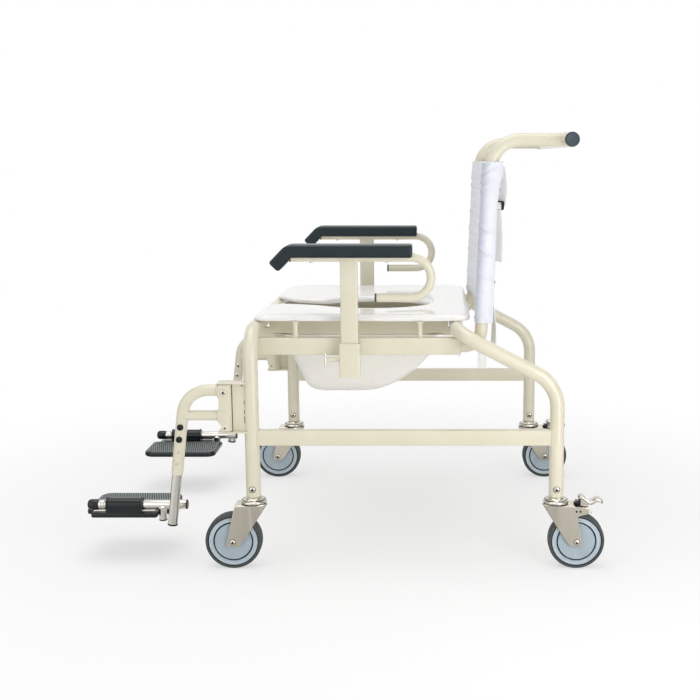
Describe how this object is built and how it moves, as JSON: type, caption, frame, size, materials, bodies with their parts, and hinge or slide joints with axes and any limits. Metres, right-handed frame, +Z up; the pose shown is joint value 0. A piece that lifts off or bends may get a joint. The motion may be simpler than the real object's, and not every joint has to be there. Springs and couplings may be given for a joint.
{
  "type": "bariatric shower chair",
  "caption": "Wide mobile shower commode chair: enamelled tube frame, swivel casters, swing-away footrests, lift-up arms, sling back and slide-out pan.",
  "frame": {"origin": "On the floor, under the middle of the chair's overall length and width", "axes": "+Z up, the sitter faces -Y, the sitter's left is +X"},
  "size_m": [0.756, 1.168, 0.9587],
  "materials": {
    "cream_enamel": "glossy baked enamel",
    "stainless_steel": "satin",
    "nickel_plate": "plated, satin bright",
    "black_plastic": "moulded, grained",
    "slate_foam": "skinned foam, fine grain",
    "white_plastic": "glossy moulding",
    "natural_plastic": "translucent satin moulding",
    "wheel_plastic": "satin moulding",
    "grey_rubber": "matt",
    "white_nylon": "coated weave",
    "white_webbing": "woven webbing"
  },
  "bodies": {
    "frame": {"front_hoop": "cream_enamel", "rear_hoop": "cream_enamel", "side_rail_left": "cream_enamel", "side_rail_right": "cream_enamel", "lower_rail_left": "cream_enamel", "lower_rail_right": "cream_enamel", "pan_rail_left": "cream_enamel", "pan_rail_right": "cream_enamel", "back_upright_left": "cream_enamel", "back_upright_right": "cream_enamel", "push_handle": "cream_enamel", "handle_cap_left": "slate_foam", "handle_cap_right": "slate_foam", "armrest_socket_left": "cream_enamel", "armrest_socket_right": "cream_enamel", "hanger_bracket_left": "cream_enamel", "hanger_bracket_right": "cream_enamel", "seat": "white_plastic", "back_sling": "white_nylon", "back_strap_upper": "white_webbing", "back_strap_lower": "white_webbing", "caster_stem_front_left": "nickel_plate", "caster_stem_front_right": "nickel_plate", "caster_stem_rear_left": "nickel_plate", "caster_stem_rear_right": "nickel_plate"},
    "pan": {"commode_pan": "natural_plastic"},
    "armrest_left": {"armrest_frame_left": "cream_enamel", "armrest_pad_left": "slate_foam"},
    "armrest_right": {"armrest_frame_right": "cream_enamel", "armrest_pad_right": "slate_foam"},
    "plunger_left": {"lock_plunger_left": "stainless_steel"},
    "plunger_right": {"lock_plunger_right": "stainless_steel"},
    "hanger_left": {"footrest_hanger_left": "cream_enamel"},
    "hanger_right": {"footrest_hanger_right": "cream_enamel"},
    "extension_left": {"footrest_extension_left": "stainless_steel"},
    "extension_right": {"footrest_extension_right": "stainless_steel"},
    "plate_left": {"footplate_left": "black_plastic"},
    "plate_right": {"footplate_right": "black_plastic"},
    "fork_front_left": {"caster_fork_front_left": "nickel_plate", "caster_axle_front_left": "stainless_steel"},
    "fork_front_right": {"caster_fork_front_right": "nickel_plate", "caster_axle_front_right": "stainless_steel"},
    "fork_rear_left": {"caster_fork_rear_left": "nickel_plate", "caster_axle_rear_left": "stainless_steel"},
    "fork_rear_right": {"caster_fork_rear_right": "nickel_plate", "caster_axle_rear_right": "stainless_steel"},
    "wheel_front_left": {"wheel_hub_front_left": "wheel_plastic", "tyre_front_left": "grey_rubber"},
    "wheel_front_right": {"wheel_hub_front_right": "wheel_plastic", "tyre_front_right": "grey_rubber"},
    "wheel_rear_left": {"wheel_hub_rear_left": "wheel_plastic", "tyre_rear_left": "grey_rubber"},
    "wheel_rear_right": {"wheel_hub_rear_right": "wheel_plastic", "tyre_rear_right": "grey_rubber"},
    "pedal_left": {"brake_pedal_rear_left": "nickel_plate"},
    "pedal_right": {"brake_pedal_rear_right": "nickel_plate"}
  },
  "joints": [
    {"name": "pan_slide", "type": "slide", "parent": "frame", "child": "pan", "axis": [0, 1, 0], "range_m": [0, 0.4]},
    {"name": "armrest_lift_left", "type": "slide", "parent": "frame", "child": "armrest_left", "axis": [0, 0, 1], "range_m": [0, 0.06]},
    {"name": "armrest_lift_right", "type": "slide", "parent": "frame", "child": "armrest_right", "axis": [0, 0, 1], "range_m": [0, 0.06]},
    {"name": "plunger_pull_left", "type": "slide", "parent": "frame", "child": "plunger_left", "axis": [0, -1, 0], "range_m": [0, 0.008], "stiffness_N_per_m": 200},
    {"name": "plunger_pull_right", "type": "slide", "parent": "frame", "child": "plunger_right", "axis": [0, -1, 0], "range_m": [0, 0.008], "stiffness_N_per_m": 200},
    {"name": "footrest_swing_left", "type": "hinge", "parent": "frame", "child": "hanger_left", "pos_m": [0.356, -0.2535, 0.366], "axis": [0, 0, 1], "range_deg": [0, 100]},
    {"name": "footrest_swing_right", "type": "hinge", "parent": "frame", "child": "hanger_right", "pos_m": [-0.356, -0.2535, 0.366], "axis": [0, 0, 1], "range_deg": [-100, 0]},
    {"name": "footrest_height_left", "type": "slide", "parent": "hanger_left", "child": "extension_left", "axis": [0, -0.1219, -0.9925], "range_m": [0, 0.052]},
    {"name": "footrest_height_right", "type": "slide", "parent": "hanger_right", "child": "extension_right", "axis": [0, -0.1219, -0.9925], "range_m": [0, 0.052]},
    {"name": "footplate_flip_left", "type": "hinge", "parent": "extension_left", "child": "plate_left", "pos_m": [0.31, -0.49, 0.1306], "axis": [0, 1, 0], "range_deg": [0, 90]},
    {"name": "footplate_flip_right", "type": "hinge", "parent": "extension_right", "child": "plate_right", "pos_m": [-0.31, -0.49, 0.1306], "axis": [0, 1, 0], "range_deg": [-90, 0]},
    {"name": "caster_swivel_front_left", "type": "hinge", "parent": "frame", "child": "fork_front_left", "pos_m": [0.35, -0.195, 0.14], "axis": [0, 0, 1], "continuous": true},
    {"name": "caster_swivel_front_right", "type": "hinge", "parent": "frame", "child": "fork_front_right", "pos_m": [-0.35, -0.195, 0.14], "axis": [0, 0, 1], "continuous": true},
    {"name": "caster_swivel_rear_left", "type": "hinge", "parent": "frame", "child": "fork_rear_left", "pos_m": [0.35, 0.4755, 0.14], "axis": [0, 0, 1], "continuous": true},
    {"name": "caster_swivel_rear_right", "type": "hinge", "parent": "frame", "child": "fork_rear_right", "pos_m": [-0.35, 0.4755, 0.14], "axis": [0, 0, 1], "continuous": true},
    {"name": "wheel_spin_front_left", "type": "hinge", "parent": "fork_front_left", "child": "wheel_front_left", "pos_m": [0.35, -0.241, 0.0625], "axis": [1, 0, 0], "continuous": true},
    {"name": "wheel_spin_front_right", "type": "hinge", "parent": "fork_front_right", "child": "wheel_front_right", "pos_m": [-0.35, -0.241, 0.0625], "axis": [1, 0, 0], "continuous": true},
    {"name": "wheel_spin_rear_left", "type": "hinge", "parent": "fork_rear_left", "child": "wheel_rear_left", "pos_m": [0.35, 0.5215, 0.0625], "axis": [1, 0, 0], "continuous": true},
    {"name": "wheel_spin_rear_right", "type": "hinge", "parent": "fork_rear_right", "child": "wheel_rear_right", "pos_m": [-0.35, 0.5215, 0.0625], "axis": [1, 0, 0], "continuous": true},
    {"name": "brake_press_left", "type": "hinge", "parent": "fork_rear_left", "child": "pedal_left", "pos_m": [0.35, 0.5355, 0.136], "axis": [1, 0, 0], "range_deg": [-10, 0]},
    {"name": "brake_press_right", "type": "hinge", "parent": "fork_rear_right", "child": "pedal_right", "pos_m": [-0.35, 0.5355, 0.136], "axis": [1, 0, 0], "range_deg": [-10, 0]}
  ]
}
